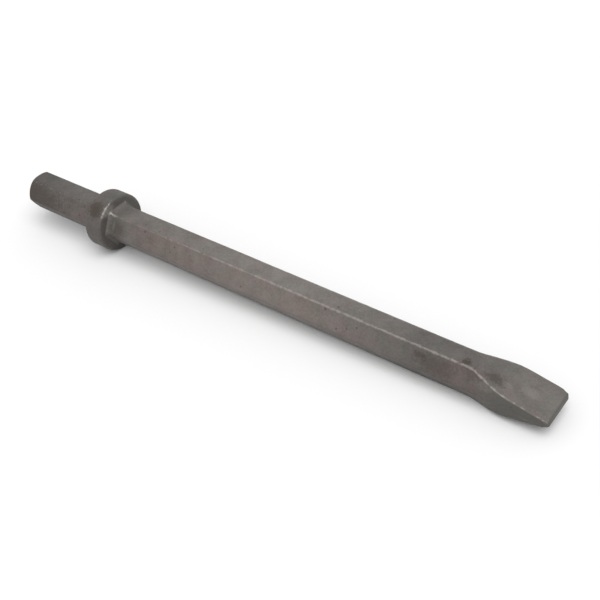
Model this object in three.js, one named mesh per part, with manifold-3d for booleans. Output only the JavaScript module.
// A collared chisel for a breaker hammer, forged in one piece from hexagon bar.
//
// Units are millimetres. The origin is the middle of the striking face. X runs along the tool
// from the striking face to the cutting edge. Z is up, square to a flat of the hexagon and to
// the broad faces of the blade, and Y runs across the blade.
//
// The stretches of the forging are separate solids that meet face to face: striking end, shank,
// collar, neck, bar, blade and cutting edge.

import * as THREE from "three";
import { mergeVertices } from "three/addons/utils/BufferGeometryUtils.js";
import Module from "manifold-3d";

// Driving dimensions
const ACROSS_FLATS = 27;
const ARRIS_RADIUS = 1.6;
const OVERALL_LENGTH = 490;
const SHANK_LENGTH = 80;
const STRIKING_END_LENGTH = 12;
const STRIKING_FACE_RADIUS = 8;
const CROWN_LENGTH = 8;
const CROWN_RADIUS = 16;
const COLLAR_DIAMETER = 46.5;
const COLLAR_THICKNESS = 17;
const COLLAR_ROUNDING = 2;
const COLLAR_SEAT_INNER_RADIUS = 16;
const NECK_LENGTH = 6;
const NECK_FLARE = 2.6;
const BLADE_LENGTH = 66;
const WEDGE_LENGTH = 57;
const PARALLEL_LENGTH = 29;
const BLADE_WIDTH = 31;
const BLADE_SIDE_CROWN = 0.2;
const EDGE_THICKNESS = 4.6;
const EDGE_STRETCH_LENGTH = 9;
const EDGE_CORNER_RADIUS = 2.6;
const EDGE_OUT_OF_SQUARE = 2.5;
const EDGE_BLUNT_THICKNESS = 2.8;
const EDGE_BEVEL_LENGTH = 2;
const EDGE_BEVEL_HEIGHT = 2.8;

// Places along X
const COLLAR_REAR = SHANK_LENGTH;
const COLLAR_FRONT = COLLAR_REAR + COLLAR_THICKNESS;
const BAR_START = COLLAR_FRONT + NECK_LENGTH;
const BLADE_START = OVERALL_LENGTH - BLADE_LENGTH;
const WEDGE_START = OVERALL_LENGTH - WEDGE_LENGTH;
const PARALLEL_START = OVERALL_LENGTH - PARALLEL_LENGTH;
const EDGE_STRETCH_START = OVERALL_LENGTH - EDGE_STRETCH_LENGTH;

// How finely the curves are divided
const ARRIS_SEGMENTS = 3;
const ROUND_SEGMENTS = 72;
const PROFILE_SEGMENTS = 6;
const NECK_STEPS = 6;
const BLADE_STEPS = 19;
const EDGE_STEPS = 3;

const HALF_FLATS = ACROSS_FLATS / 2;
const CORNER_RADIUS = ACROSS_FLATS / Math.sqrt(3);
const SIXTH_OF_TURN = Math.PI / 3;

const X_AXIS = new THREE.Vector3(1, 0, 0);
const Y_AXIS = new THREE.Vector3(0, 1, 0);
const Z_AXIS = new THREE.Vector3(0, 0, 1);
// A shape drawn flat and extruded upwards is laid down: its depth runs along X, its height along Z.
const EXTRUSION_ALONG_X = new THREE.Matrix4().makeBasis(Y_AXIS, Z_AXIS, X_AXIS);
// A lathe turns about its own Y axis, which is laid along X.
const LATHE_ALONG_X = new THREE.Matrix4().makeBasis(Z_AXIS, X_AXIS, Y_AXIS);

const wasm = await Module();
wasm.setup();

// The bar's section: a hexagon with a flat on top and its six corners rounded.
function hexagonShape() {
  const shape = new THREE.Shape();
  const centreRadius = CORNER_RADIUS - ARRIS_RADIUS / Math.sin(SIXTH_OF_TURN);
  for (let corner = 0; corner < 6; corner += 1) {
    const angle = corner * SIXTH_OF_TURN;
    const centreY = centreRadius * Math.cos(angle);
    const centreZ = centreRadius * Math.sin(angle);
    const halfArc = SIXTH_OF_TURN / 2;
    shape.absarc(centreY, centreZ, ARRIS_RADIUS, angle - halfArc, angle + halfArc, false);
  }
  return shape;
}

// A length of hexagon bar from one place along X to another. Its vertices are then moved by
// reshape, which changes a point in place, as forging moves the steel.
function hexagonBar(start, end, steps, reshape) {
  const geometry = new THREE.ExtrudeGeometry(hexagonShape(), {
    depth: end - start,
    steps,
    bevelEnabled: false,
    curveSegments: ARRIS_SEGMENTS,
  });
  geometry.applyMatrix4(EXTRUSION_ALONG_X);
  geometry.translate(start, 0, 0);
  if (reshape) {
    reshapeGeometry(geometry, reshape);
  }
  return geometry;
}

function reshapeGeometry(geometry, reshape) {
  const positions = geometry.attributes.position;
  const point = new THREE.Vector3();
  for (let index = 0; index < positions.count; index += 1) {
    point.fromBufferAttribute(positions, index);
    reshape(point);
    positions.setXYZ(index, point.x, point.y, point.z);
  }
  geometry.computeVertexNormals();
}

// A solid turned about X from a profile of points (radius, place along X).
function turnedSolid(profile) {
  const geometry = new THREE.LatheGeometry(profile, ROUND_SEGMENTS);
  geometry.applyMatrix4(LATHE_ALONG_X);
  return geometry;
}

// A quarter or part of a round, as profile points, about a centre at (radius, place along X).
function arcPoints(centreRadius, centreX, rounding, startAngle, endAngle) {
  const points = [];
  for (let step = 0; step <= PROFILE_SEGMENTS; step += 1) {
    const angle = THREE.MathUtils.lerp(startAngle, endAngle, step / PROFILE_SEGMENTS);
    const radius = centreRadius + rounding * Math.cos(angle);
    points.push(new THREE.Vector2(radius, centreX + rounding * Math.sin(angle)));
  }
  return points;
}

// manifold-3d solids, for the two stretches that are cut to shape.
function toSolid(geometry) {
  const bare = geometry.index ? geometry.toNonIndexed() : geometry.clone();
  bare.deleteAttribute("normal");
  bare.deleteAttribute("uv");
  const merged = mergeVertices(bare);
  const mesh = new wasm.Mesh({
    numProp: 3,
    vertProperties: new Float32Array(merged.attributes.position.array),
    triVerts: new Uint32Array(merged.index.array),
  });
  return new wasm.Manifold(mesh);
}

function toGeometry(solid) {
  const mesh = solid.getMesh();
  const geometry = new THREE.BufferGeometry();
  geometry.setAttribute("position", new THREE.BufferAttribute(mesh.vertProperties, 3));
  geometry.setIndex(new THREE.BufferAttribute(mesh.triVerts, 1));
  geometry.computeVertexNormals();
  return geometry;
}

// The end that the hammer strikes: the hexagon's corners are turned away by a crown, an
// ellipse of revolution that is cut flat where the hammer's piston lands.
function strikingEnd() {
  const flatAngle = Math.acos(STRIKING_FACE_RADIUS / CROWN_RADIUS);
  const flatDepth = CROWN_LENGTH * (1 - Math.sin(flatAngle));
  const profile = [new THREE.Vector2(0, 0)];
  for (let step = 0; step <= PROFILE_SEGMENTS; step += 1) {
    const angle = flatAngle * (1 - step / PROFILE_SEGMENTS);
    const radius = CROWN_RADIUS * Math.cos(angle);
    const place = CROWN_LENGTH * (1 - Math.sin(angle)) - flatDepth;
    profile.push(new THREE.Vector2(radius, place));
  }
  profile.push(new THREE.Vector2(CROWN_RADIUS, 2 * STRIKING_END_LENGTH));
  profile.push(new THREE.Vector2(0, 2 * STRIKING_END_LENGTH));
  const crown = toSolid(turnedSolid(profile));
  const bar = toSolid(hexagonBar(0, STRIKING_END_LENGTH, 1));
  return toGeometry(bar.intersect(crown));
}

// The plain hexagon that the hammer's chuck guides.
function shank() {
  return hexagonBar(STRIKING_END_LENGTH, COLLAR_REAR, 1);
}

// The round collar that stops the tool against the hammer's nose, with both rims rounded. Its
// rear face has an edge just outside the shank's corners, so the ring that seats is a face alone.
function collar() {
  const radius = COLLAR_DIAMETER / 2;
  const rimRadius = radius - COLLAR_ROUNDING;
  const rearRim = COLLAR_REAR + COLLAR_ROUNDING;
  const frontRim = COLLAR_FRONT - COLLAR_ROUNDING;
  return turnedSolid([
    new THREE.Vector2(0, COLLAR_REAR),
    new THREE.Vector2(COLLAR_SEAT_INNER_RADIUS, COLLAR_REAR),
    ...arcPoints(rimRadius, rearRim, COLLAR_ROUNDING, -Math.PI / 2, 0),
    ...arcPoints(rimRadius, frontRim, COLLAR_ROUNDING, 0, Math.PI / 2),
    new THREE.Vector2(0, COLLAR_FRONT),
  ]);
}

// The fillet between collar and bar: the hexagon flares out along a quarter ellipse.
function neck() {
  return hexagonBar(COLLAR_FRONT, BAR_START, NECK_STEPS, (point) => {
    const turn = ((point.x - COLLAR_FRONT) / NECK_LENGTH) * (Math.PI / 2);
    const flare = 1 + (NECK_FLARE * (1 - Math.sin(turn))) / HALF_FLATS;
    point.set(COLLAR_FRONT + NECK_LENGTH * (1 - Math.cos(turn)), point.y * flare, point.z * flare);
  });
}

// The long plain body of the tool.
function bar() {
  return hexagonBar(BAR_START, BLADE_START, 1);
}

// Half the bar's thickness along Z: full up to the wedge, then falling in a straight line.
function halfThicknessAt(x) {
  const fall = (ACROSS_FLATS - EDGE_THICKNESS) / 2 / WEDGE_LENGTH;
  return HALF_FLATS - fall * Math.max(0, x - WEDGE_START);
}

// Drawing out the blade: the wedge faces press the hexagon thinner, and its sloping sides
// spread outwards until they stand upright, so the section goes from hexagon to rectangle.
function drawOut(point) {
  const halfThickness = halfThicknessAt(point.x);
  const height = Math.abs(point.z) / HALF_FLATS;
  const spread = THREE.MathUtils.smoothstep(point.x, BLADE_START, PARALLEL_START);
  const hexagonSide = CORNER_RADIUS * (1 - height / 2);
  const pressedSide = CORNER_RADIUS * (1 - (height * halfThickness) / ACROSS_FLATS);
  const bladeSide = BLADE_WIDTH / 2 + BLADE_SIDE_CROWN * (1 - height);
  point.y *= THREE.MathUtils.lerp(pressedSide, bladeSide, spread) / hexagonSide;
  point.z *= halfThickness / HALF_FLATS;
}

function blade() {
  return hexagonBar(BLADE_START, EDGE_STRETCH_START, BLADE_STEPS, drawOut);
}

// The blade's end seen from above: the edge runs a little out of square, between round corners.
function edgeOutline() {
  const halfWidth = BLADE_WIDTH / 2;
  const lean = Math.atan2(EDGE_OUT_OF_SQUARE, BLADE_WIDTH);
  const nearX = OVERALL_LENGTH - EDGE_CORNER_RADIUS;
  const centreY = halfWidth - EDGE_CORNER_RADIUS;
  const farX = nearX - 2 * centreY * Math.tan(lean);
  const clearOfBlade = halfWidth + EDGE_CORNER_RADIUS;
  const outline = new THREE.Shape();
  outline.moveTo(EDGE_STRETCH_START - EDGE_CORNER_RADIUS, -clearOfBlade);
  outline.lineTo(nearX, -halfWidth);
  outline.absarc(nearX, -centreY, EDGE_CORNER_RADIUS, -Math.PI / 2, lean, false);
  outline.absarc(farX, centreY, EDGE_CORNER_RADIUS, lean, Math.PI / 2, false);
  outline.lineTo(EDGE_STRETCH_START - EDGE_CORNER_RADIUS, clearOfBlade);
  return outline;
}

// The last stretch of the blade, trimmed to the outline, with a blunt edge between two bevels.
function cuttingEdge() {
  const past = EDGE_STRETCH_START + 2 * EDGE_STRETCH_LENGTH;
  const wedge = toSolid(hexagonBar(EDGE_STRETCH_START, past, EDGE_STEPS, drawOut));
  const trimmer = new THREE.ExtrudeGeometry(edgeOutline(), {
    depth: EDGE_BLUNT_THICKNESS,
    steps: 1,
    bevelThickness: EDGE_BEVEL_HEIGHT,
    bevelSize: EDGE_BEVEL_LENGTH,
    bevelOffset: -EDGE_BEVEL_LENGTH,
    bevelSegments: 1,
    curveSegments: PROFILE_SEGMENTS,
  });
  trimmer.translate(0, 0, -EDGE_BLUNT_THICKNESS / 2);
  return toGeometry(wedge.intersect(toSolid(trimmer)));
}

const forgedSteel = new THREE.MeshStandardMaterial({
  color: 0x6e6a66,
  roughness: 0.62,
  metalness: 0.55,
});
const bladeSteel = new THREE.MeshStandardMaterial({
  color: 0x70696a,
  roughness: 0.58,
  metalness: 0.55,
});

const chisel = new THREE.Group();

function addPiece(name, geometry, material) {
  const mesh = new THREE.Mesh(geometry, material);
  mesh.name = name;
  chisel.add(mesh);
}

addPiece("striking_end", strikingEnd(), forgedSteel);
addPiece("shank", shank(), forgedSteel);
addPiece("collar", collar(), forgedSteel);
addPiece("neck", neck(), forgedSteel);
addPiece("bar", bar(), forgedSteel);
addPiece("blade", blade(), bladeSteel);
addPiece("cutting_edge", cuttingEdge(), bladeSteel);

export default chisel;
